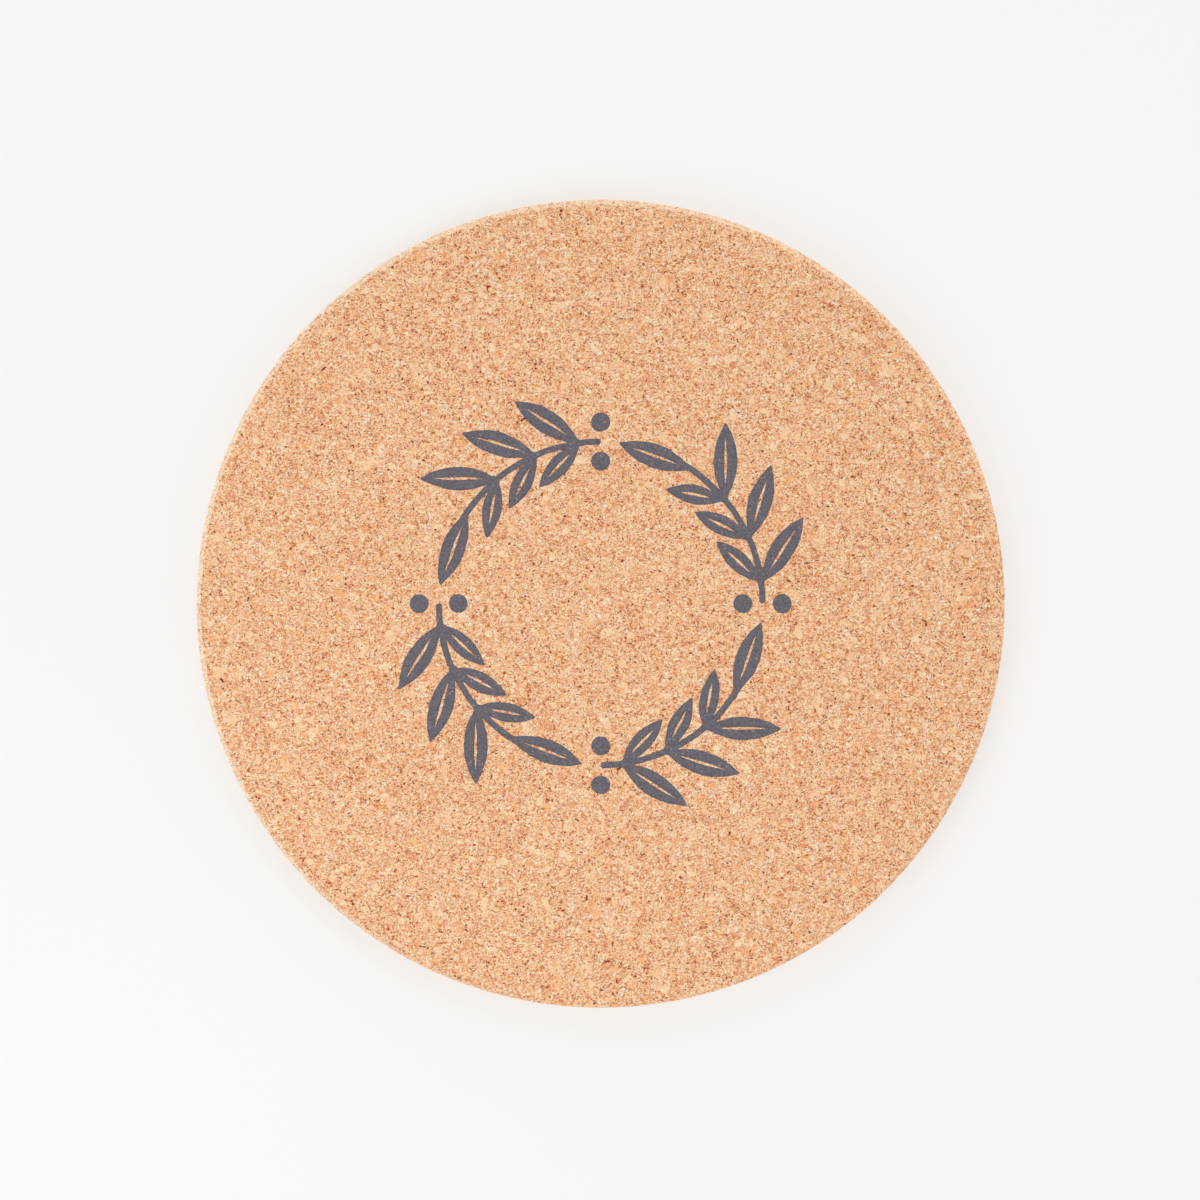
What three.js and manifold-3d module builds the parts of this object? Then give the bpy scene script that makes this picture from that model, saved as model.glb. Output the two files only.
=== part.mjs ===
// A round cork placemat: one disc of agglomerated cork board with softened edges, and a wreath of leafy
// sprigs and berries printed on its face in a thin film of ink.
//
// Millimetres, +Z up. The mat lies flat with its printed face up, and the origin is at the centre of its
// underside.

import * as THREE from 'three';
import { mergeVertices } from 'three/addons/utils/BufferGeometryUtils.js';
import Module from 'manifold-3d';

// Cork board
const MAT_DIAMETER = 290;
const MAT_THICKNESS = 10;
const FACE_EDGE_RADIUS = 1.8; // round-over around the printed face
const BACK_EDGE_RADIUS = 1.8; // round-over around the underside
const MAT_SIDES = 96;
const EDGE_STEPS = 4; // facets across each round-over

// Ink film
const INK_THICKNESS = 0.15;

// Wreath of sprigs that follow one another around a circle
const WREATH_RADIUS = 58; // of the stems' centre line
const SPRIG_GAP = 5; // bare cork from the tip of a sprig to the next stem
const STEM_WIDTH = 2.2;
const STEM_STEPS = 12;
const LEAF_PAIRS = 3;
const LEAF_SPREAD = THREE.MathUtils.degToRad(40); // angle between a leaf and the stem
const LEAF_GAP = 2.2; // bare cork between neighbouring leaves on the inside of the wreath
const LEAF_STEPS = 6; // facets along each side of a leaf
const OUTER_LEAF_LENGTH = 28; // also of the leaf at the end of a stem
const OUTER_LEAF_WIDTH = 8.6;
const INNER_LEAF_LENGTH = 22;
const INNER_LEAF_WIDTH = 7;
const VEIN_WIDTH = 1; // bare slit along the middle of a leaf
const VEIN_INSET = 5; // ink at both ends of the slit
const BERRY_DIAMETER = 7;
const BERRY_GAP = 2.4; // bare cork between a berry and the stem and leaf beside it
const BERRY_SIDES = 14;
const PRINT_CLEARANCE = 2; // from the print to the bare middle of the face, where a cup or a bowl stands

const STEPS_PER_DIVISION = 2; // three.js cuts an arc into two steps for each division that it is asked for

const wasm = await Module();
wasm.setup();

function corkMaterial() {
  return new THREE.MeshStandardMaterial({ color: 0xe6b48b, roughness: 0.92, metalness: 0 });
}

function inkMaterial() {
  return new THREE.MeshStandardMaterial({ color: 0x69666d, roughness: 0.85, metalness: 0 });
}

function namedMesh(name, geometry, material) {
  const mesh = new THREE.Mesh(geometry, material);
  mesh.name = name;
  return mesh;
}

function toSolid(geometry) {
  const bare = geometry.clone();
  bare.deleteAttribute('normal');
  bare.deleteAttribute('uv');
  const merged = mergeVertices(bare);
  const vertProperties = new Float32Array(merged.attributes.position.array);
  const triVerts = new Uint32Array(merged.index.array);
  return new wasm.Manifold(new wasm.Mesh({ numProp: 3, vertProperties, triVerts }));
}

function toGeometry(solid) {
  const mesh = solid.getMesh();
  const geometry = new THREE.BufferGeometry();
  geometry.setAttribute('position', new THREE.BufferAttribute(mesh.vertProperties, 3));
  geometry.setIndex(new THREE.BufferAttribute(mesh.triVerts, 1));
  return geometry;
}

// Cork board: half of its section, turned about the vertical axis. The bare middle of the face is a facet
// ring of its own
function corkDisc() {
  const rim = MAT_DIAMETER / 2;
  const faceEdgeHeight = MAT_THICKNESS - FACE_EDGE_RADIUS;
  const section = new THREE.Path();
  section.moveTo(0, 0);
  section.lineTo(rim - BACK_EDGE_RADIUS, 0);
  section.absarc(rim - BACK_EDGE_RADIUS, BACK_EDGE_RADIUS, BACK_EDGE_RADIUS, -Math.PI / 2, 0);
  section.lineTo(rim, faceEdgeHeight);
  section.absarc(rim - FACE_EDGE_RADIUS, faceEdgeHeight, FACE_EDGE_RADIUS, 0, Math.PI / 2);
  section.lineTo(bareRadius, MAT_THICKNESS);
  section.lineTo(0, MAT_THICKNESS);
  const geometry = new THREE.LatheGeometry(section.getPoints(EDGE_STEPS / STEPS_PER_DIVISION), MAT_SIDES);
  geometry.rotateX(Math.PI / 2);
  return geometry;
}

function inkFilm(shape, curveSegments) {
  return new THREE.ExtrudeGeometry(shape, { depth: INK_THICKNESS, bevelEnabled: false, curveSegments });
}

// Adds a lens with pointed ends on the x axis. Each side bulges half as far as its control point
function addLens(path, start, end, width) {
  const middle = (start + end) / 2;
  path.moveTo(start, 0);
  path.quadraticCurveTo(middle, -width, end, 0);
  path.quadraticCurveTo(middle, width, start, 0);
  return path;
}

// A leaf that grows from the stem's centre line, at an angle around the wreath, turned away from the stem
function leafSolid(length, width, around, turn) {
  const outline = addLens(new THREE.Shape(), 0, length, width);
  outline.holes.push(addLens(new THREE.Path(), VEIN_INSET, length - VEIN_INSET, VEIN_WIDTH));
  const leaf = inkFilm(outline, LEAF_STEPS);
  leaf.rotateZ(around + Math.PI / 2 + turn);
  leaf.translate(WREATH_RADIUS * Math.cos(around), WREATH_RADIUS * Math.sin(around), 0);
  return toSolid(leaf);
}

function stemSolid(end) {
  const stem = new THREE.Shape();
  stem.absarc(0, 0, WREATH_RADIUS + STEM_WIDTH / 2, 0, end);
  stem.absarc(0, 0, WREATH_RADIUS - STEM_WIDTH / 2, end, 0, true);
  return toSolid(inkFilm(stem, STEM_STEPS / STEPS_PER_DIVISION));
}

function berryFilm() {
  const berry = new THREE.Shape();
  berry.absarc(0, 0, BERRY_DIAMETER / 2, 0, 2 * Math.PI);
  return inkFilm(berry, BERRY_SIDES / STEPS_PER_DIVISION);
}

// The bare start of a stem is long enough for the first leaf to clear the berry beside it
const berryOffset = STEM_WIDTH / 2 + BERRY_GAP + BERRY_DIAMETER / 2;
const berryToLeaf = BERRY_DIAMETER / 2 + BERRY_GAP + OUTER_LEAF_WIDTH / 2;
const stemStart = (berryToLeaf - berryOffset * Math.cos(LEAF_SPREAD)) / Math.sin(LEAF_SPREAD);

// Angles around the wreath, measured from the start of a stem
const innerLeafRadius = WREATH_RADIUS - (INNER_LEAF_LENGTH / 2) * Math.sin(LEAF_SPREAD);
const pairStep = (INNER_LEAF_WIDTH + LEAF_GAP) / (innerLeafRadius * Math.sin(LEAF_SPREAD));
const firstPair = stemStart / WREATH_RADIUS;
const endLeaf = firstPair + LEAF_PAIRS * pairStep;
const endLeafTurn = Math.asin(OUTER_LEAF_LENGTH / 2 / WREATH_RADIUS); // bends the end leaf along the circle
const sprigSpan = endLeaf + 2 * endLeafTurn + SPRIG_GAP / WREATH_RADIUS;
const sprigCount = Math.floor((2 * Math.PI) / sprigSpan);

// Circle inside the tips of the inner leaves and the inner berries
const innerTipRadius = Math.hypot(
  WREATH_RADIUS - INNER_LEAF_LENGTH * Math.sin(LEAF_SPREAD),
  INNER_LEAF_LENGTH * Math.cos(LEAF_SPREAD),
);
const innerBerryRadius = WREATH_RADIUS - berryOffset - BERRY_DIAMETER / 2;
const bareRadius = Math.min(innerTipRadius, innerBerryRadius) - PRINT_CLEARANCE;

// One sprig: a curved stem with pairs of leaves and a leaf at its end, all in one film of ink. The stem runs
// into its end leaf as far as the slit
function sprigFilm() {
  let sprig = stemSolid(endLeaf + VEIN_INSET / WREATH_RADIUS);
  sprig = sprig.add(leafSolid(OUTER_LEAF_LENGTH, OUTER_LEAF_WIDTH, endLeaf, endLeafTurn));
  for (let pair = 0; pair < LEAF_PAIRS; pair += 1) {
    const around = firstPair + pair * pairStep;
    sprig = sprig.add(leafSolid(OUTER_LEAF_LENGTH, OUTER_LEAF_WIDTH, around, -LEAF_SPREAD));
    sprig = sprig.add(leafSolid(INNER_LEAF_LENGTH, INNER_LEAF_WIDTH, around, LEAF_SPREAD));
  }
  return toGeometry(sprig);
}

const placemat = new THREE.Group();
placemat.add(namedMesh('cork_disc', corkDisc(), corkMaterial()));

// The print lies on the board's face. Each sprig has a berry on both sides of the start of its stem
for (let number = 1; number <= sprigCount; number += 1) {
  const outerBerry = namedMesh(`outer_berry_${number}`, berryFilm(), inkMaterial());
  outerBerry.position.x = WREATH_RADIUS + berryOffset;
  const innerBerry = namedMesh(`inner_berry_${number}`, berryFilm(), inkMaterial());
  innerBerry.position.x = WREATH_RADIUS - berryOffset;
  const sprigAndBerries = new THREE.Group();
  sprigAndBerries.add(namedMesh(`sprig_${number}`, sprigFilm(), inkMaterial()), outerBerry, innerBerry);
  sprigAndBerries.position.z = MAT_THICKNESS;
  sprigAndBerries.rotation.z = ((number - 1) * 2 * Math.PI) / sprigCount;
  placemat.add(sprigAndBerries);
}

export default placemat;
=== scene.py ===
"""A round cork placemat, granule by granule, with a wreath printed on its face.

The board is one closed mesh. It is scattered with the middles of granules, and the corners where three
granules meet are the mesh's other points, some of them sunk as pits. The print is a thin film that follows
the granules. Metres, +Z up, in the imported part's frame.
"""

import math

import bpy
import numpy as np
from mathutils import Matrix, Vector, noise
from mathutils.bvhtree import BVHTree
from mathutils.geometry import delaunay_2d_cdt


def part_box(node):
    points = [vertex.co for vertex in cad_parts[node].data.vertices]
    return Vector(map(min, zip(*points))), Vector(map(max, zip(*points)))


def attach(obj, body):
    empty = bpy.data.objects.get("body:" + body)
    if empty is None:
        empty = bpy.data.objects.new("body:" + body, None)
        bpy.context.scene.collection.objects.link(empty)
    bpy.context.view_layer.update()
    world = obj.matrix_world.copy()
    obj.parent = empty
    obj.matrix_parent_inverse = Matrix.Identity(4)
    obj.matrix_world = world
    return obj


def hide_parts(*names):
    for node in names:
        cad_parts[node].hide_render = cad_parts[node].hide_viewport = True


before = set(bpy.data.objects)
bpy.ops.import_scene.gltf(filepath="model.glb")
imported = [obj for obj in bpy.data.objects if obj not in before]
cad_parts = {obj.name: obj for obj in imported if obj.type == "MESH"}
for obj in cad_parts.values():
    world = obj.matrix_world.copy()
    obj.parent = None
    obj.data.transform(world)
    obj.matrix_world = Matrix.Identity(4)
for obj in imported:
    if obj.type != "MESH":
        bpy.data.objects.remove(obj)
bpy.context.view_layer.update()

MM = 0.001
BODY = "root"
SEED = 8
random = np.random.default_rng(SEED)
noise.seed_set(SEED)

# Cork board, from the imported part
board_low, board_high = (np.array(corner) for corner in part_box("cork_disc"))
BOARD_RADIUS = (board_high[0] - board_low[0]) / 2
BOARD_HEIGHT = board_high[2]

# Softened edges: wider on one side, as hand sanding leaves them
EDGE_WIDTH = 1.95 * MM
EDGE_UNEVENNESS = 0.22  # share of the width
WIDE_EDGE_ANGLE = math.radians(100)
EDGE_POWER = 1.12  # of the superellipse in the section: 1 is a flat chamfer, 2 a round-over
EDGE_SAMPLES = 65
SECTION_STEP = 0.02 * MM  # to both sides of a point, to find the direction out of the board there

# Granules: scattered over the face and the back, and in uneven rows on the edges and the side
FACE_GRANULE = 2.1 * MM
FACE_MARGIN = 0.5 * FACE_GRANULE  # from the scattered middles to the rows
EDGE_GRANULE_HEIGHT = 0.62 * MM
EDGE_GRANULE_LENGTH = 1.1 * MM
EDGE_ROWS_ON_FACE = 2
SIDE_GRANULE_HEIGHT = 0.95 * MM
SIDE_GRANULE_LENGTH = 1.35 * MM
BACK_GRANULE = 3.7 * MM
BACK_MARGIN = 0.6 * BACK_GRANULE  # from the scattered middles to the rim
GRANULE_JITTER = 0.34  # share of the spacing
LARGE_GRANULES = 34
LARGE_GRANULE_REACH = 2.8 * MM  # along a large granule, no other has its middle nearer than this
LARGE_GRANULE_SIZES = (0.7, 1.1)  # shares of that reach
LARGE_GRANULE_STRETCH = 1.5
GRANULE_DOME = 0.03 * MM  # most that the middle of a granule stands out
GRANULE_GROOVE = 0.06 * MM  # most that a corner without a pit lies deep
PIT_SHARE = 0.03  # of the corners between granules
SLOT_SHARE = 0.0008  # of the sides of granules
PIT_DEPTHS = (0.2 * MM, 0.5 * MM)
PIT_OPENINGS = (0.55, 0.95)  # how far the painted shade of a pit reaches towards the granules' middles
SLOT_OPENINGS = (0.58, 0.72)
REFERENCE = (0.36, 0.48, 0.8)  # any slanted direction: angles around a granule count from it
FACING_DOWN = -0.99  # directions out of the board with a lower Z belong to its flat back

# Kinds of granules: their share, and ranges of tone, tint from orange (-1) to grey (1), and smoothness
COMMON_TONE = 0.045  # spread of the tones of common granules
COMMON_TINT = 0.45  # range of their tints, to both sides
GRANULE_KINDS = {
    "pale": (0.045, (0.1, 0.25), (-0.1, 0.3), (0.3, 0.7)),
    "grey": (0.02, (-0.22, -0.1), (0.6, 1.0), (0.2, 0.5)),
    "orange": (0.02, (-0.1, 0.02), (-0.9, -0.6), (0.2, 0.6)),
}
LARGE_KIND = ((0.08, 0.24), (-0.2, 0.3), (0.4, 0.65))  # the ranges alone

# Pale edge, a painted highlight where light falls on the edge with some pale wear: how pale it is on the
# whole, and the waves in that around the rim
EDGE_HIGHLIGHT_AND_WEAR = 0.36
HIGHLIGHT_AND_WEAR_WAVES = (  # height, number and angle
    (0.39, 1, math.radians(150)),
    (0.08, 2, math.radians(16)),
    (0.09, 3, math.radians(-25)),
)
HIGHLIGHT_AND_WEAR_BORDER = 1.1 * MM  # width of the ragged border of the painted highlight and wear on the face
HIGHLIGHT_AND_WEAR_SIDE = 5 * MM  # how far it fades out down the side

# Map of the board for a bake: the middle and radius of its two discs
BAKE_MAP = "OFBake"
FRONT_CHART = (np.array((0.418, 0.418)), 0.415)
BACK_CHART = (np.array((0.838, 0.838)), 0.158)

# Print
INK_FILM = 0.1 * MM  # above the cork
INK_EDGE_FILM = 0.05 * MM  # the same along an outline
INK_SUNK = 0.06 * MM  # how far the film reaches below the grooves between granules
INK_STEP = 0.4 * MM  # between points of an outline
INK_FEWEST_STEPS = 12
INK_GRID = 0.9 * MM  # between points inside an outline
INK_MARGIN = 0.5 * INK_GRID  # from those points to the outline
INK_ROUNDING = 5  # passes that round an outline's corners
INK_WAVES = ((0.12 * MM, 1.1 * MM), (0.22 * MM, 7 * MM))  # height and length of an outline's waves

# Points and heights that count as the same
SAME_POINT = 1e-9
SAME_HEIGHT = 0.01 * MM
PLACE_DECIMALS = 7  # of a metre

# Stage and light
FLOOR_SIDE = 8.0
FLOOR_COLOUR = (0.945, 0.937, 0.92, 1)
FLOOR_GLOW = 0.62  # share of the floor that shows no shadow to the camera
BACKDROP_LEVEL = 0.95  # of the sky where it is seen directly
SKY_LEVEL = 0.55  # with the lamps, the light that shows a colour as it is written
SUNS = (  # level, and direction towards the lamp
    (0.45, Vector((-0.14, 0.9, 0.3))),
    (0.42, Vector((0.95, -0.12, 0.22))),
    (0.16, Vector((-0.7, -0.66, 0.25))),
)
SUN_SPREAD = math.radians(50)  # wide, for soft shadows
FILL_POWER = 0.65
FILL_PLACE = Vector((-0.44, -0.45, 0.5))
FILL_SIDE = 0.7
FILL_SPREAD = math.radians(90)  # narrow, to leave no bright pool on the floor below the lamp

# Photograph: the camera is square to the face
IMAGE_SIDE = 1200
BOARD_SPAN = 809.5  # pixels across the board
BOARD_MIDDLE = (600.69, 603.51)  # pixels from the left and from the top
CAMERA_LENS = 100
CAMERA_SENSOR = 36


# Objects

def add_object(name, data):
    thing = bpy.data.objects.new(name, data)
    bpy.context.scene.collection.objects.link(thing)
    return thing


def add_piece(name, points, faces, material):
    """Makes a smooth mesh piece that rides on the part."""
    mesh = bpy.data.meshes.new(name)
    mesh.from_pydata(points.tolist(), [], faces.tolist())
    mesh.materials.append(material)
    mesh.shade_smooth()
    piece = add_object(name, mesh)
    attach(piece, BODY)
    return piece


def add_values(piece, name, values, domain="POINT"):
    """Gives each point or face of a mesh piece a number, or three, that its material reads."""
    values = np.asarray(values, np.float32)
    kind, field = ("FLOAT", "value") if values.ndim == 1 else ("FLOAT_VECTOR", "vector")
    layer = piece.data.attributes.new(name, kind, domain)
    layer.data.foreach_set(field, values.ravel())


# Node trees

def new_material(name):
    """A new material, its node tree and its shader."""
    material = bpy.data.materials.new(name)
    material.use_nodes = True
    tree = material.node_tree
    return material, tree, tree.nodes["Principled BSDF"]


def add_node(tree, kind, inputs=None, **settings):
    """Adds a node. An input that is a socket is linked, and any other is set."""
    node = tree.nodes.new(kind)
    for name, value in settings.items():
        setattr(node, name, value)
    for name, value in (inputs or {}).items():
        if isinstance(value, bpy.types.NodeSocket):
            tree.links.new(value, node.inputs[name])
        else:
            node.inputs[name].default_value = value
    return node


def maths(tree, operation, *values):
    inputs = dict(enumerate(values))
    return add_node(tree, "ShaderNodeMath", inputs, operation=operation).outputs[0]


def vector_maths(tree, operation, *values):
    inputs = dict(enumerate(values))
    return add_node(tree, "ShaderNodeVectorMath", inputs, operation=operation).outputs[0]


def total(tree, value, *others):
    for other in others:
        value = maths(tree, "ADD", value, other)
    return value


def times(tree, value, weight):
    return maths(tree, "MULTIPLY", value, weight)


def scaled(tree, vector, factor):
    return vector_maths(tree, "MULTIPLY", vector, (factor, factor, factor))


def spread_about(tree, value, weight):
    """A random value from 0 to 1, turned into an even spread about 0."""
    return times(tree, maths(tree, "SUBTRACT", value, 0.5), weight)


def mapped(tree, value, start, end, top=1.0):
    """Goes from 0 to the top while a value goes from a start to an end, and stays level beyond them."""
    inputs = {"Value": value, "From Min": start, "From Max": end, "To Max": top}
    return add_node(tree, "ShaderNodeMapRange", inputs).outputs[0]


def ramp(tree, share, stops):
    """A colour ramp. Stops are pairs of a place and a colour."""
    node = add_node(tree, "ShaderNodeValToRGB", {"Fac": share})
    elements = node.color_ramp.elements
    while len(elements) < len(stops):
        elements.new(0.5)
    for element, (place, colour) in zip(elements, stops):
        element.position = place
        element.color = colour
    return node.outputs["Color"]


def mixed(tree, share, colour, other, blend="MIX"):
    """Blends a share of another colour into a colour."""
    # Inputs 6 and 7 of a mix node are its colours
    inputs = {0: share, 6: colour, 7: other}
    return add_node(tree, "ShaderNodeMix", inputs, data_type="RGBA", blend_type=blend).outputs[2]


def tinted(tree, colour, share, tint, other_tint):
    """Multiplies a colour by a blend of two tints."""
    return mixed(tree, 1.0, colour, mixed(tree, share, tint, other_tint), "MULTIPLY")


def attribute(tree, name, output="Fac"):
    return add_node(tree, "ShaderNodeAttribute", attribute_name=name).outputs[output]


def place_in_mm(tree):
    return scaled(tree, add_node(tree, "ShaderNodeTexCoord").outputs["Object"], 1 / MM)


def clouds(tree, place, length, detail=1.0):
    """Smooth noise with waves of about a length."""
    inputs = {"Vector": place, "Scale": 1 / length, "Detail": detail}
    return add_node(tree, "ShaderNodeTexNoise", inputs)


def warped(tree, place, length, reach):
    """Moves places by smooth noise, so that cells have crooked outlines."""
    wave = clouds(tree, place, length).outputs["Color"]
    centred = vector_maths(tree, "SUBTRACT", wave, (0.5, 0.5, 0.5))
    return vector_maths(tree, "MULTIPLY_ADD", centred, (reach, reach, reach), place)


def cells(tree, place, size):
    """A pattern of random cells, and three random values for each cell."""
    pattern = add_node(tree, "ShaderNodeTexVoronoi", {"Vector": place, "Scale": 1 / size})
    values = add_node(tree, "ShaderNodeSeparateColor", {"Color": pattern.outputs["Color"]})
    return pattern, tuple(values.outputs)


def spots(tree, pattern, reach, softness):
    """1 around the middles of cells, fading to 0 at a reach from them."""
    within = maths(tree, "SUBTRACT", reach, pattern.outputs["Distance"])
    return mapped(tree, within, 0.0, softness)


def set_surface(tree, shader, colour, height, bump, roughness, gloss):
    """Gives a shader its colour, a bump of a strength and a depth, its roughness and its gloss."""
    strength, depth = bump
    inputs = {"Strength": strength, "Distance": depth, "Height": height}
    normal = add_node(tree, "ShaderNodeBump", inputs).outputs["Normal"]
    tree.links.new(colour, shader.inputs["Base Color"])
    tree.links.new(normal, shader.inputs["Normal"])
    tree.links.new(roughness, shader.inputs["Roughness"])
    shader.inputs["Specular IOR Level"].default_value = gloss


def srgb(red, green, blue):
    """A colour from 8-bit screen values."""
    def to_linear(value):
        value /= 255
        return value / 12.92 if value <= 0.04045 else ((value + 0.055) / 1.055) ** 2.4
    return (to_linear(red), to_linear(green), to_linear(blue), 1)


# Cork. A tone is a place on the ramp of shades
CORK_SHADES = (
    (0.00, srgb(164, 81, 44)),
    (0.12, srgb(214, 128, 83)),
    (0.30, srgb(237, 167, 121)),
    (0.50, srgb(248, 191, 147)),
    (0.70, srgb(253, 212, 169)),
    (0.88, srgb(254, 229, 190)),
    (1.00, srgb(255, 243, 216)),
)
MIDDLE_TONE = 0.5
SHADOW_COLOUR = srgb(142, 44, 14)
# Painted shade in the holes of pits
PIT_SHADE_COLOUR = srgb(134, 46, 18)
# Painted highlight on the edge, with some pale wear
HIGHLIGHT_AND_WEAR_COLOUR = srgb(255, 241, 212)
ORANGE_TINT = (1.03, 0.95, 0.84, 1)
GREY_TINT = (0.97, 1.0, 1.12, 1)
PINK_TINT = (1.015, 0.955, 1.005, 1)
GREEN_TINT = (0.97, 1.035, 0.97, 1)
WARM_TINT = (1.01, 1.0, 0.86, 1)
COOL_TINT = (0.99, 1.0, 1.09, 1)
CORK_BUMP = (0.8, 0.22 * MM)  # strength and depth
CORK_ROUGHNESS = 0.9
PALE_ROUGHNESS = -0.1  # change of the roughness with the tone
CORK_GLOSS = 0.1

# Grain of the cork, in millimetres
FLAKE = 1.35
FLAKE_WARP = (0.7, 0.5)  # length and reach of the waves that make flakes crooked
STRAND = 0.37
STRAND_STRETCH = 2.6  # length over width
SPOT_SPACING = 1.0
DUST = 0.22
BLOTCH = 2.6

# Weights of the grain in the tone
STRAND_WEIGHT = 0.88
FLAKE_WEIGHT = 0.1
DUST_WEIGHT = 0.3
FLECK_WEIGHT = 0.3
CHIP_WEIGHT = 0.3

# Pale flecks are strands, and pale chips and dark specks are spots. Random values pick them, from none to
# the largest, and the reach and softness of a spot are shares of the spacing
FLECK_VALUES = (0.91, 0.94)
CHIP_VALUES = (0.3, 0.0)
CHIP_REACH = 0.5
CHIP_SOFTNESS = 0.08
SPECK_VALUES = (0.54, 1.0)
SPECK_REACH = 0.39
SPECK_SOFTNESS = 0.1
SPECK_HIGHLIGHT_AND_WEAR = 0.3  # what the painted edge highlight and wear take off the reach of a speck
SPECK_DARKNESS = 0.95

# Pale edge (painted highlight and some wear), painted shadow in creases between granules and painted shade
# in
# the holes of pits: the range of values in which each sets in, and how much grain makes its border ragged
HIGHLIGHT_AND_WEAR_RANGE = (0.5, 1.1)
HIGHLIGHT_AND_WEAR_RAGGEDNESS = 0.5
CREASE_RANGE = (0.2, 0.0)
CREASE_RAGGEDNESS = 0.7
CREASE_BREAKS = (0.45, 0.6)  # blotches from where creases are gone to where they are whole
CREASE_DARKNESS = 0.2
PIT_SHADE_RANGE = (0.5, 0.75)
PIT_SHADE_RAGGEDNESS = 0.5
HOLLOW_DEPTH = 0.25  # of the painted shadows and the painted shade of pits, as a change of tone

# Ink. Its grain is in millimetres
INK_DARK = srgb(84, 80, 87)
INK_PALE = srgb(116, 112, 119)
INK_PINHOLE = srgb(168, 142, 126)
PINHOLE_VALUES = (0.985, 0.99)  # random values of the grains that are pinholes
INK_GRAIN = 0.42
INK_WARP = (0.8, 0.7)
INK_BUMP = (0.3, 0.05 * MM)
INK_ROUGHNESS = 0.75
INK_ROUGHNESS_SPREAD = 0.1
INK_GLOSS = 0.3


def torn_flakes(tree, place):
    """Crooked flakes, each torn into strands that run its own way.

    Gives three random values of each flake, and places that are drawn together along the strands.
    """
    crooked = warped(tree, place, *FLAKE_WARP)
    flakes, values = cells(tree, crooked, FLAKE)
    turn = scaled(tree, flakes.outputs["Color"], 2 * math.pi)
    inputs = {"Vector": crooked, "Center": flakes.outputs["Position"], "Rotation": turn}
    turned = add_node(tree, "ShaderNodeVectorRotate", inputs, rotation_type="EULER_XYZ").outputs[0]
    return values, vector_maths(tree, "MULTIPLY", turned, (1, 1, 1 / STRAND_STRETCH))


def cork_material():
    material, tree, shader = new_material("cork")
    granule = add_node(tree, "ShaderNodeSeparateXYZ", {0: attribute(tree, "granule", "Vector")})
    tone, tint, smooth = granule.outputs
    rough = maths(tree, "SUBTRACT", 1.0, smooth)
    place = place_in_mm(tree)
    dust = clouds(tree, place, DUST).outputs["Fac"]
    blotch = clouds(tree, place, BLOTCH, detail=2.0).outputs["Fac"]
    flake, lengthwise = torn_flakes(tree, place)
    strand, coolness, greenness = cells(tree, lengthwise, STRAND)[1]
    spot_pattern, spot = cells(tree, lengthwise, SPOT_SPACING)

    fleck = mapped(tree, coolness, *FLECK_VALUES)
    chip = spots(tree, spot_pattern, mapped(tree, spot[0], *CHIP_VALUES, CHIP_REACH), CHIP_SOFTNESS)
    texture = total(
        tree,
        spread_about(tree, strand, STRAND_WEIGHT),
        spread_about(tree, flake[0], FLAKE_WEIGHT),
        spread_about(tree, dust, DUST_WEIGHT),
        times(tree, fleck, FLECK_WEIGHT),
        times(tree, chip, CHIP_WEIGHT),
    )
    texture = times(tree, texture, rough)

    # Pale edge in patches: a painted highlight where light falls on the edge, with some wear
    ragged = total(
        tree,
        spread_about(tree, strand, HIGHLIGHT_AND_WEAR_RAGGEDNESS),
        spread_about(tree, flake[2], HIGHLIGHT_AND_WEAR_RAGGEDNESS),
        attribute(tree, "edge"),
    )
    highlight_and_wear = times(tree, attribute(tree, "highlight_and_wear"), mapped(tree, ragged, *HIGHLIGHT_AND_WEAR_RANGE))

    # Painted shadow in creases, broken here and there, and at dark specks; painted shade in pit holes
    ragged = total(tree, attribute(tree, "inward"), spread_about(tree, dust, CREASE_RAGGEDNESS))
    crease = times(tree, mapped(tree, ragged, *CREASE_RANGE), mapped(tree, blotch, *CREASE_BREAKS))
    reach = mapped(tree, spot[0], *SPECK_VALUES, SPECK_REACH)
    reach = maths(tree, "SUBTRACT", reach, times(tree, highlight_and_wear, SPECK_HIGHLIGHT_AND_WEAR))
    speck = spots(tree, spot_pattern, reach, SPECK_SOFTNESS)
    shadow = total(tree, times(tree, crease, CREASE_DARKNESS), times(tree, speck, SPECK_DARKNESS))
    shadow = times(tree, shadow, rough)
    ragged = total(tree, attribute(tree, "pit"), spread_about(tree, dust, PIT_SHADE_RAGGEDNESS))
    pit_shade = mapped(tree, ragged, *PIT_SHADE_RANGE)

    colour = ramp(tree, total(tree, tone, MIDDLE_TONE, texture), CORK_SHADES)
    colour = tinted(tree, colour, mapped(tree, tint, -1.0, 1.0), ORANGE_TINT, GREY_TINT)
    colour = tinted(tree, colour, greenness, PINK_TINT, GREEN_TINT)
    colour = tinted(tree, colour, coolness, WARM_TINT, COOL_TINT)
    # Painted highlight on the edge, with some pale wear
    colour = mixed(tree, highlight_and_wear, colour, HIGHLIGHT_AND_WEAR_COLOUR)
    colour = mixed(tree, shadow, colour, SHADOW_COLOUR)
    # Painted shade in the holes of pits
    colour = mixed(tree, pit_shade, colour, PIT_SHADE_COLOUR)
    hollow = times(tree, total(tree, shadow, pit_shade), HOLLOW_DEPTH)
    height = maths(tree, "SUBTRACT", texture, hollow)
    roughness = total(tree, times(tree, texture, PALE_ROUGHNESS), CORK_ROUGHNESS)
    set_surface(tree, shader, colour, height, CORK_BUMP, roughness, CORK_GLOSS)
    return material


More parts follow.
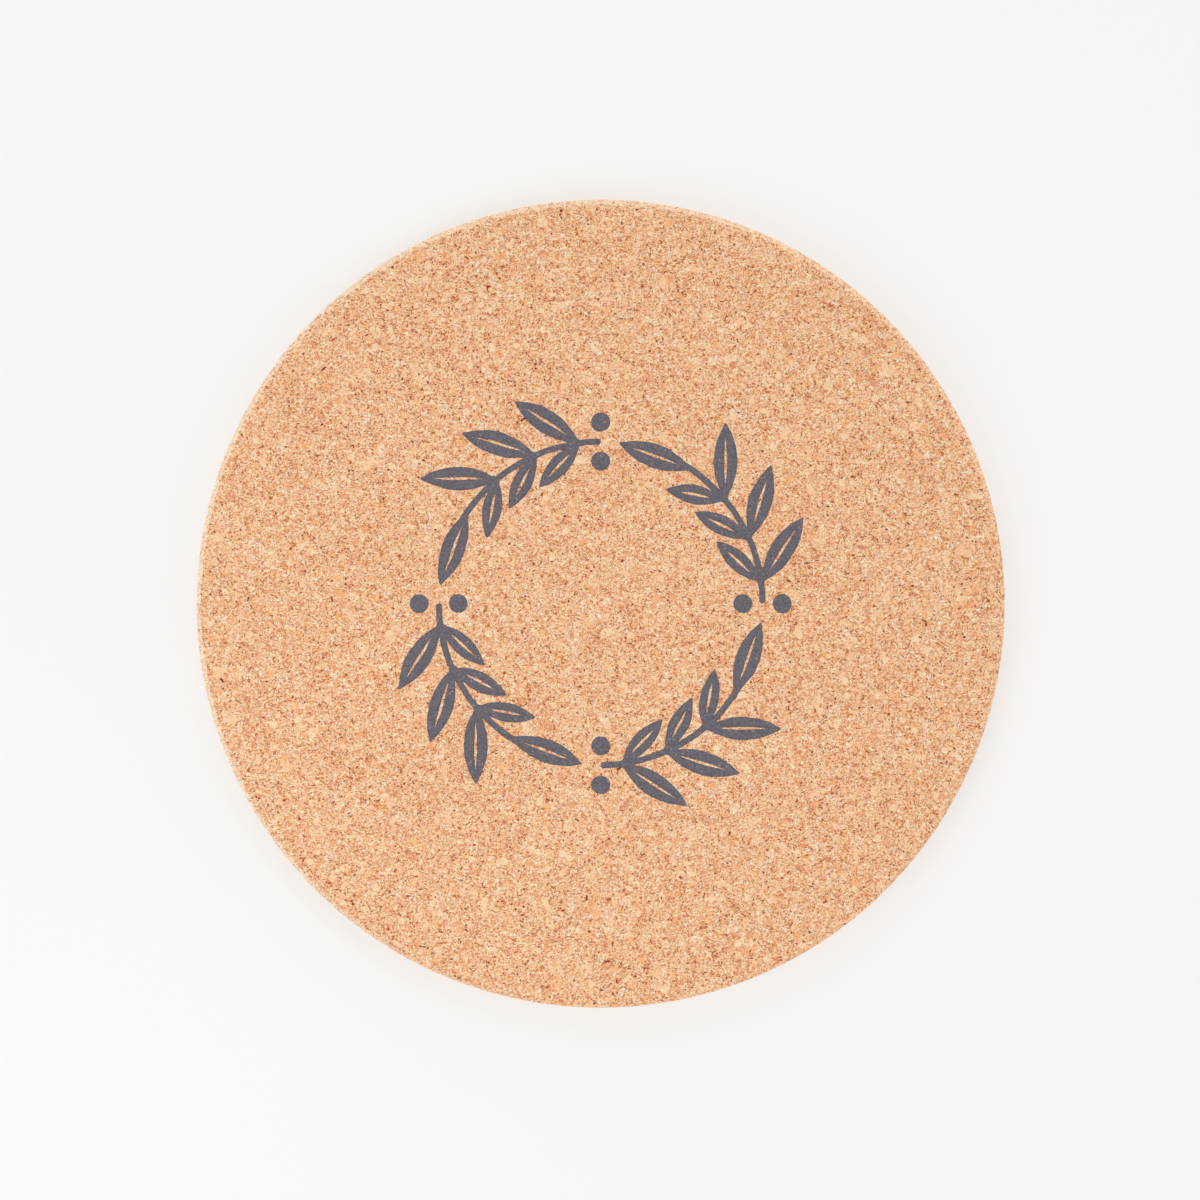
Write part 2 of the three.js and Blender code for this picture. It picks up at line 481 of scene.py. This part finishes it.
def ink_material():
    material, tree, shader = new_material("ink")
    crooked = warped(tree, place_in_mm(tree), *INK_WARP)
    grain, thinness, _ = cells(tree, crooked, INK_GRAIN)[1]
    colour = mixed(tree, grain, INK_DARK, INK_PALE)
    colour = mixed(tree, mapped(tree, thinness, *PINHOLE_VALUES), colour, INK_PINHOLE)
    roughness = total(tree, spread_about(tree, grain, INK_ROUGHNESS_SPREAD), INK_ROUGHNESS)
    set_surface(tree, shader, colour, grain, INK_BUMP, roughness, INK_GLOSS)
    return material


# Cork board. Its face, edges and side unroll into one disc, the front, and its back is another

turns = np.linspace(0, math.pi / 2, EDGE_SAMPLES)
edge_out = np.sin(turns) ** (2 / EDGE_POWER)
edge_down = 1 - np.cos(turns) ** (2 / EDGE_POWER)
edge_run = np.concatenate(([0], np.cumsum(np.hypot(np.diff(edge_out), np.diff(edge_down)))))
face_reach = BOARD_RADIUS - EDGE_WIDTH
edge_length = EDGE_WIDTH * edge_run[-1]
edge_end = face_reach + edge_length
side_height = BOARD_HEIGHT - 2 * EDGE_WIDTH
unrolled_reach = face_reach + 2 * edge_length + side_height

# Directions to the granules on the rim, where the front and the back meet
rim_count = round(2 * math.pi * face_reach / SIDE_GRANULE_LENGTH)
rim_angles = np.arange(rim_count) * 2 * math.pi / rim_count
rim = np.stack((np.cos(rim_angles), np.sin(rim_angles)), 1)


def edge_widths(angles):
    return EDGE_WIDTH * (1 + EDGE_UNEVENNESS * np.cos(angles - WIDE_EDGE_ANGLE))


def along_edge(share):
    """How far an edge has gone out and down, as shares of its width."""
    run = np.clip(share, 0, 1) * edge_run[-1]
    return np.interp(run, edge_run, edge_out), np.interp(run, edge_run, edge_down)


def board_section(distances, widths):
    """Radius and height on the board at distances from the middle of the face over the edge and down."""
    past_face = distances - face_reach
    out, down = along_edge(past_face / edge_length)
    side = np.clip((past_face - edge_length) / side_height, 0, 1)
    back_out, back_up = along_edge(1 - (past_face - edge_length - side_height) / edge_length)
    on_face = np.clip(distances / face_reach, 0, 1) * (BOARD_RADIUS - widths)
    radius = on_face + widths * (out + back_out - 1)
    height = BOARD_HEIGHT - widths * (down + 1 - back_up) - side * (BOARD_HEIGHT - 2 * widths)
    return radius, height


def roll_up(flat):
    """Places on the board, and directions out of it, for points of the front."""
    distances = np.hypot(flat[:, 0], flat[:, 1])
    angles = np.arctan2(flat[:, 1], flat[:, 0])
    widths = edge_widths(angles)
    radius, height = board_section(distances, widths)
    radius_ahead, height_ahead = board_section(distances + SECTION_STEP, widths)
    radius_behind, height_behind = board_section(distances - SECTION_STEP, widths)
    out = height_behind - height_ahead
    up = radius_ahead - radius_behind
    scale = np.hypot(out, up)
    places = np.stack((radius * np.cos(angles), radius * np.sin(angles), height), 1)
    normals = np.stack((out * np.cos(angles), out * np.sin(angles), up), 1) / scale[:, None]
    return places, normals


def lay_back(flat):
    """The same for points of the back."""
    angles = np.arctan2(flat[:, 1], flat[:, 0])
    scale = (BOARD_RADIUS - edge_widths(angles)) / face_reach
    places = np.column_stack((flat * scale[:, None], np.zeros(len(flat))))
    normals = np.tile((0.0, 0.0, -1.0), (len(flat), 1))
    return places, normals


def jitter(shape):
    return random.uniform(-GRANULE_JITTER, GRANULE_JITTER, shape)


def scattered(reach, spacing):
    """Points spread over a disc, about evenly."""
    count = int(reach / spacing) + 2
    columns, rows = np.meshgrid(np.arange(-count, count + 1), np.arange(-count * 2, count * 2 + 1))
    across = columns + 0.5 * (rows % 2)
    along = rows * math.sqrt(3) / 2
    lattice = np.stack((across, along), -1).reshape(-1, 2) * spacing
    lattice += jitter(lattice.shape) * spacing
    return lattice[np.hypot(lattice[:, 0], lattice[:, 1]) < reach]


def ringed(start, end, spacing, length):
    """Points spread over a ring of the front, in uneven rows."""
    rows = round((end - start) / spacing)
    count = round(2 * math.pi * BOARD_RADIUS / length)
    rings = []
    for row in range(rows):
        steps = np.arange(count) + jitter(count) + 0.5 * (row % 2)
        angles = steps * (2 * math.pi / count)
        distances = start + (row + 0.5) * (end - start) / rows + jitter(count) * spacing
        rings.append(np.stack((distances * np.cos(angles), distances * np.sin(angles)), 1))
    return np.concatenate(rings)


def within_large(offsets):
    """Whether points at offsets from the middle of a large granule lie inside it."""
    long_way = random.uniform(0, math.pi)
    along = offsets @ (math.cos(long_way), math.sin(long_way))
    across = offsets @ (-math.sin(long_way), math.cos(long_way))
    reach = LARGE_GRANULE_REACH * random.uniform(*LARGE_GRANULE_SIZES)
    return np.hypot(along, across * LARGE_GRANULE_STRETCH) < reach


def face_granules(reach):
    """Middles of the granules scattered over the face, and which of them are large."""
    face = scattered(reach, FACE_GRANULE)
    large = random.choice(len(face), LARGE_GRANULES, replace=False)
    crowded = np.zeros(len(face), bool)
    for middle in face[large]:
        crowded |= within_large(face - middle)
    crowded[large] = False
    is_large = np.isin(np.arange(len(face)), large)
    return face[~crowded], is_large[~crowded]


def triangulate(points, edges=()):
    """Triangles between points of a plane, out to their hull and along the given edges."""
    found = delaunay_2d_cdt([Vector(point) for point in points], list(edges), [], 0, SAME_POINT)
    assert len(found[0]) == len(points)
    return np.array(found[2])


def granule_faces(triangles, places, normals, middles):
    """Faces from each granule's middle to its sides, in order around it.

    Each triangle between middles holds a corner, and the corners are numbered after all middles.
    """
    owner = triangles.ravel()
    corner = middles + np.repeat(np.arange(len(triangles)), 3)
    away = places[corner] - places[owner]
    sideways = np.cross(normals[owner], REFERENCE)
    upright = np.cross(normals[owner], sideways)
    angle = np.arctan2((away * upright).sum(1), (away * sideways).sum(1))
    order = np.lexsort((angle, owner))
    owner, corner = owner[order], corner[order]
    following = np.arange(len(owner)) + 1
    starts = np.flatnonzero(np.diff(owner, prepend=-1))
    ends = np.append(starts[1:], len(owner)) - 1
    following[ends] = starts
    return np.stack((owner, corner, corner[following]), 1)


def amid_corners(values, faces):
    """The mean of the values at each granule's corners."""
    owner, corner = faces[:, 0], faces[:, 1]
    counts = np.bincount(owner)
    sums = np.zeros((len(counts), values.shape[1]))
    np.add.at(sums, owner, values[corner])
    return sums / counts[:, None]


def board_relief(faces, normals, middles):
    """How far each point stands out of the board, and how far a pit's painted shade reaches there."""
    count = len(normals)
    relief = np.empty(count)
    relief[:middles] = random.uniform(0, GRANULE_DOME, middles)
    relief[middles:] = -random.uniform(0, GRANULE_GROOVE, count - middles)
    openings = random.uniform(*PIT_OPENINGS, count)
    openings[random.random(count) > PIT_SHARE] = 0
    openings[:middles] = 0
    slots = np.flatnonzero(random.random(len(faces)) < SLOT_SHARE)
    openings[faces[slots, 1:]] = random.uniform(*SLOT_OPENINGS, (len(slots), 1))
    pits = openings > 0
    relief[pits] = -random.uniform(*PIT_DEPTHS, pits.sum())
    # Nothing stands out of the back, which lies on the floor
    relief[normals[:, 2] < FACING_DOWN] -= GRANULE_DOME
    return relief, openings


def drawn(ranges, count):
    """Random rows with a value from each range."""
    return np.stack([random.uniform(*span, count) for span in ranges], 1)


def granule_looks(count, large):
    """Tone, tint and smoothness of each granule."""
    looks = np.zeros((count, 3))
    looks[:, 0] = random.normal(0, COMMON_TONE, count)
    looks[:, 1] = random.uniform(-COMMON_TINT, COMMON_TINT, count)
    for share, *ranges in GRANULE_KINDS.values():
        chosen = np.flatnonzero(random.random(count) < share)
        looks[chosen] = drawn(ranges, len(chosen))
    looks[large] = drawn(LARGE_KIND, len(large))
    return looks


def highlight_and_wear_around(places):
    """How pale the painted highlight and wear make the edge, by the angle around the board."""
    angles = np.arctan2(places[:, 1], places[:, 0])
    paleness = np.full(len(places), EDGE_HIGHLIGHT_AND_WEAR)
    for height, number, start in HIGHLIGHT_AND_WEAR_WAVES:
        paleness += height * np.cos(number * (angles - start))
    return np.clip(paleness, 0, 1)


def highlight_and_wear_share(distances):
    """Reach of the painted highlight and wear at distances over the front: fully on the edge, less and
    less down the side.
    """
    on_edge = np.clip((distances - face_reach) / HIGHLIGHT_AND_WEAR_BORDER + 0.5, 0, 1)
    past_edge = np.clip((distances - edge_end) / HIGHLIGHT_AND_WEAR_SIDE, 0, 1)
    return on_edge * (1 - past_edge)


def add_bake_map(piece, faces, front, back, front_corners, back_corners):
    """Maps the board's front and back onto two discs."""
    # The granules on the rim belong to the front, so their corners on the back lie just outside it
    outside = (unrolled_reach + face_reach) / np.hypot(*back_corners.T) - 1
    folded_out = back_corners * outside[:, None]
    on_front = np.concatenate((front, back, front_corners, folded_out))
    on_back = np.concatenate((front, back, front_corners, back_corners)) * (-1, 1)
    for flat in (on_front, on_back):
        flat[:len(front) + len(back)] = amid_corners(flat, faces)
    is_front = faces[:, 0] < len(front)
    front_disc = on_front[faces[is_front]]
    front_reach = np.hypot(front_disc[..., 0], front_disc[..., 1]).max()
    charted = np.empty((len(faces), 3, 2), np.float32)
    middle, radius = FRONT_CHART
    charted[is_front] = middle + front_disc * radius / front_reach
    middle, radius = BACK_CHART
    charted[~is_front] = middle + on_back[faces[~is_front]] * radius / face_reach
    layer = piece.data.uv_layers.new(name=BAKE_MAP)
    layer.uv.foreach_set("vector", charted.ravel())


def cork_board(material):
    rows_start = face_reach - EDGE_ROWS_ON_FACE * EDGE_GRANULE_HEIGHT
    face, is_large = face_granules(rows_start - FACE_MARGIN)
    edges = ringed(rows_start, edge_end, EDGE_GRANULE_HEIGHT, EDGE_GRANULE_LENGTH)
    sides = ringed(edge_end, unrolled_reach, SIDE_GRANULE_HEIGHT, SIDE_GRANULE_LENGTH)
    back = scattered(face_reach - BACK_MARGIN, BACK_GRANULE)

    front = np.concatenate((rim * unrolled_reach, face, edges, sides))
    back_and_rim = np.concatenate((rim * face_reach, back))
    front_triangles = triangulate(front)
    back_triangles = triangulate(back_and_rim)
    front_corners = front[front_triangles].mean(1)
    back_corners = back_and_rim[back_triangles].mean(1)

    # All granule middles, then all corners. The rim's middles belong to both discs
    middles = len(front) + len(back)
    back_numbers = np.concatenate((np.arange(rim_count), np.arange(len(front), middles)))
    triangles = np.concatenate((front_triangles, back_numbers[back_triangles]))
    parts = (roll_up(front), lay_back(back), roll_up(front_corners), lay_back(back_corners))
    places, normals = (np.concatenate(values) for values in zip(*parts))
    faces = granule_faces(triangles, places, normals, middles)

    # Amid its corners, a middle leaves no face around it folded over
    places[:middles] = amid_corners(places, faces)
    relief, openings = board_relief(faces, normals, middles)
    points = places + normals * relief[:, None]
    points[:, 2] = np.maximum(points[:, 2], 0)
    piece = add_piece("cork_board", points, faces, material)
    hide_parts("cork_disc")

    looks = granule_looks(middles, rim_count + np.flatnonzero(is_large))
    on_front = np.concatenate((front, np.zeros_like(back), front_corners, np.zeros_like(back_corners)))
    add_values(piece, "granule", looks[faces[:, 0]], "FACE")
    add_values(piece, "inward", np.arange(len(points)) < middles)
    add_values(piece, "pit", openings)
    # Painted highlight where light falls on the edge, with some wear, by the angle around the board
    add_values(piece, "highlight_and_wear", highlight_and_wear_around(places))
    add_values(piece, "edge", highlight_and_wear_share(np.hypot(*on_front.T)))
    add_bake_map(piece, faces, front, back, front_corners, back_corners)
    return piece


# Print

def upper_outlines(node):
    """The closed outlines of a CAD node's upper face, as rings of points in order."""
    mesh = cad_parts[node].data
    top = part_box(node)[1][2]
    points = np.round([tuple(vertex.co) for vertex in mesh.vertices], PLACE_DECIMALS)
    edges = set()
    for polygon in mesh.polygons:
        corners = [tuple(points[number]) for number in polygon.vertices]
        if all(abs(corner[2] - top) < SAME_HEIGHT for corner in corners):
            edges.update(zip(corners, corners[1:] + corners[:1]))
    following = {start: end for start, end in edges if (end, start) not in edges}
    rings = []
    while following:
        start = min(following)
        point = following.pop(start)
        ring = [start]
        while point != start:
            ring.append(point)
            point = following.pop(point)
        rings.append(np.array(ring)[:, :2])
    return rings


def hand_cut(ring):
    """Walks a ring in even steps, rounds its corners and makes it a little wavy."""
    closed = np.vstack((ring, ring[:1]))
    run = np.concatenate(([0], np.cumsum(np.hypot(*np.diff(closed, axis=0).T))))
    count = max(INK_FEWEST_STEPS, round(run[-1] / INK_STEP))
    steps = np.linspace(0, run[-1], count, endpoint=False)
    points = np.stack([np.interp(steps, run, closed[:, axis]) for axis in (0, 1)], 1)
    for _ in range(INK_ROUNDING):
        points = (np.roll(points, 1, 0) + 2 * points + np.roll(points, -1, 0)) / 4
    for height, length in INK_WAVES:
        waves = [noise.noise_vector(Vector((x, y, 0)) / length)[:2] for x, y in points]
        points = points + height * np.array(waves)
    return points


def inside(points, rings):
    """Whether points lie inside the rings, by how often a line to the side crosses them."""
    crossings = np.zeros(len(points), int)
    for ring in rings:
        for start, end in zip(ring, np.roll(ring, -1, 0)):
            spans = (start[1] > points[:, 1]) != (end[1] > points[:, 1])
            if spans.any():
                share = (points[spans, 1] - start[1]) / (end[1] - start[1])
                crossings[spans] += points[spans, 0] < start[0] + share * (end[0] - start[0])
    return crossings % 2 == 1


def grid_inside(outline, rings):
    """Points scattered inside the rings, clear of their outline."""
    low, high = outline.min(0), outline.max(0)
    middle = (low + high) / 2
    grid = scattered(np.hypot(*(high - low)) / 2, INK_GRID) + middle
    grid = grid[inside(grid, rings)]
    clear = [np.hypot(*(outline - point).T).min() > INK_MARGIN for point in grid]
    return grid[clear]


def ring_edges(rings):
    """Pairs of neighbouring points, numbered from the first ring to the last."""
    edges = []
    first = 0
    for ring in rings:
        numbers = first + np.arange(len(ring))
        edges.append(np.stack((numbers, np.roll(numbers, -1)), 1))
        first += len(ring)
    return np.concatenate(edges)


def cork_height(surface, x, y):
    """Height of the cork below a film, which spans pits and slots."""
    above = Vector((x, y, BOARD_HEIGHT + MM))
    hit = surface.ray_cast(above, Vector((0, 0, -1)))[0]
    return max(hit.z, BOARD_HEIGHT - GRANULE_GROOVE)


def ink_film(node, surface, material):
    rings = [hand_cut(ring) for ring in upper_outlines(node)]
    outline = np.concatenate(rings)
    flat = np.concatenate((outline, grid_inside(outline, rings)))
    edges = ring_edges(rings)
    triangles = triangulate(flat, edges.tolist())
    triangles = triangles[inside(flat[triangles].mean(1), rings)]

    count = len(flat)
    heights = np.array([cork_height(surface, x, y) for x, y in flat])
    heights[:len(outline)] += INK_EDGE_FILM
    heights[len(outline):] += INK_FILM
    underside = np.full(count, BOARD_HEIGHT - INK_SUNK - GRANULE_GROOVE)
    points = np.concatenate((np.column_stack((flat, heights)), np.column_stack((flat, underside))))
    starts, ends = edges.T
    walls = np.concatenate((
        np.stack((starts, starts + count, ends + count), 1),
        np.stack((starts, ends + count, ends), 1),
    ))
    faces = np.concatenate((triangles, triangles[:, ::-1] + count, walls))
    piece = add_piece("printed_" + node, points, faces, material)
    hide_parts(node)


# Stage, light and camera

def seen_directly(tree):
    """1 for what the camera or a reflection sees, 0 for what only lights the object."""
    path = add_node(tree, "ShaderNodeLightPath")
    seen = maths(tree, "MAXIMUM", path.outputs["Is Camera Ray"], path.outputs["Is Glossy Ray"])
    return maths(tree, "MAXIMUM", seen, path.outputs["Is Transmission Ray"])


def floor_material():
    """A matt floor with an even glow that only shows where it is seen directly."""
    material, tree, shader = new_material("floor")
    shader.inputs["Base Color"].default_value = FLOOR_COLOUR
    shader.inputs["Roughness"].default_value = 1
    shader.inputs["Specular IOR Level"].default_value = 0
    glow = add_node(tree, "ShaderNodeEmission", {"Color": FLOOR_COLOUR})
    share = times(tree, seen_directly(tree), FLOOR_GLOW)
    inputs = {0: share, 1: shader.outputs[0], 2: glow.outputs[0]}
    surface = add_node(tree, "ShaderNodeMixShader", inputs).outputs[0]
    tree.links.new(surface, tree.nodes["Material Output"].inputs["Surface"])
    return material


def add_floor():
    half = FLOOR_SIDE / 2
    corners = [(-half, -half, 0), (half, -half, 0), (half, half, 0), (-half, half, 0)]
    mesh = bpy.data.meshes.new("floor")
    mesh.from_pydata(corners, [], [(0, 1, 2, 3)])
    mesh.materials.append(floor_material())
    floor = add_object("floor", mesh)


def add_sky():
    world = bpy.data.worlds.new("studio")
    bpy.context.scene.world = world
    world.use_nodes = True
    tree = world.node_tree
    # Inputs 2 and 3 of a mix node are its numbers
    levels = {0: seen_directly(tree), 2: SKY_LEVEL, 3: BACKDROP_LEVEL}
    strength = add_node(tree, "ShaderNodeMix", levels).outputs[0]
    background = tree.nodes["Background"]
    background.inputs["Color"].default_value = (1, 1, 1, 1)
    tree.links.new(strength, background.inputs["Strength"])


def add_sun(level, direction):
    light = bpy.data.lights.new("sun", "SUN")
    light.angle = SUN_SPREAD
    light.energy = level * math.pi
    lamp = add_object("sun", light)
    lamp.rotation_euler = direction.to_track_quat("Z", "Y").to_euler()


def add_fill_light():
    light = bpy.data.lights.new("fill", "AREA")
    light.size = FILL_SIDE
    light.spread = FILL_SPREAD
    light.energy = FILL_POWER
    lamp = add_object("fill", light)
    lamp.visible_camera = False
    lamp.location = FILL_PLACE
    lamp.rotation_euler = FILL_PLACE.to_track_quat("Z", "Y").to_euler()


def add_camera():
    pixel = 2 * BOARD_RADIUS / BOARD_SPAN
    view_side = IMAGE_SIDE * pixel
    camera = bpy.data.cameras.new("camera")
    camera.lens = CAMERA_LENS
    camera.sensor_width = CAMERA_SENSOR
    holder = add_object("camera", camera)
    holder.location = (
        (IMAGE_SIDE / 2 - BOARD_MIDDLE[0]) * pixel,
        (BOARD_MIDDLE[1] - IMAGE_SIDE / 2) * pixel,
        BOARD_HEIGHT + view_side * CAMERA_LENS / CAMERA_SENSOR,
    )
    bpy.context.scene.camera = holder


# The placemat on its stage

board = cork_board(cork_material())
board_points = [vertex.co for vertex in board.data.vertices]
board_faces = [polygon.vertices[:] for polygon in board.data.polygons]
board_surface = BVHTree.FromPolygons(board_points, board_faces)
ink = ink_material()
for node in sorted(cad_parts):
    if node != "cork_disc":
        ink_film(node, board_surface, ink)

add_floor()
add_sky()
for level, direction in SUNS:
    add_sun(level, direction)
add_fill_light()
add_camera()
bpy.context.scene.view_settings.view_transform = "Standard"
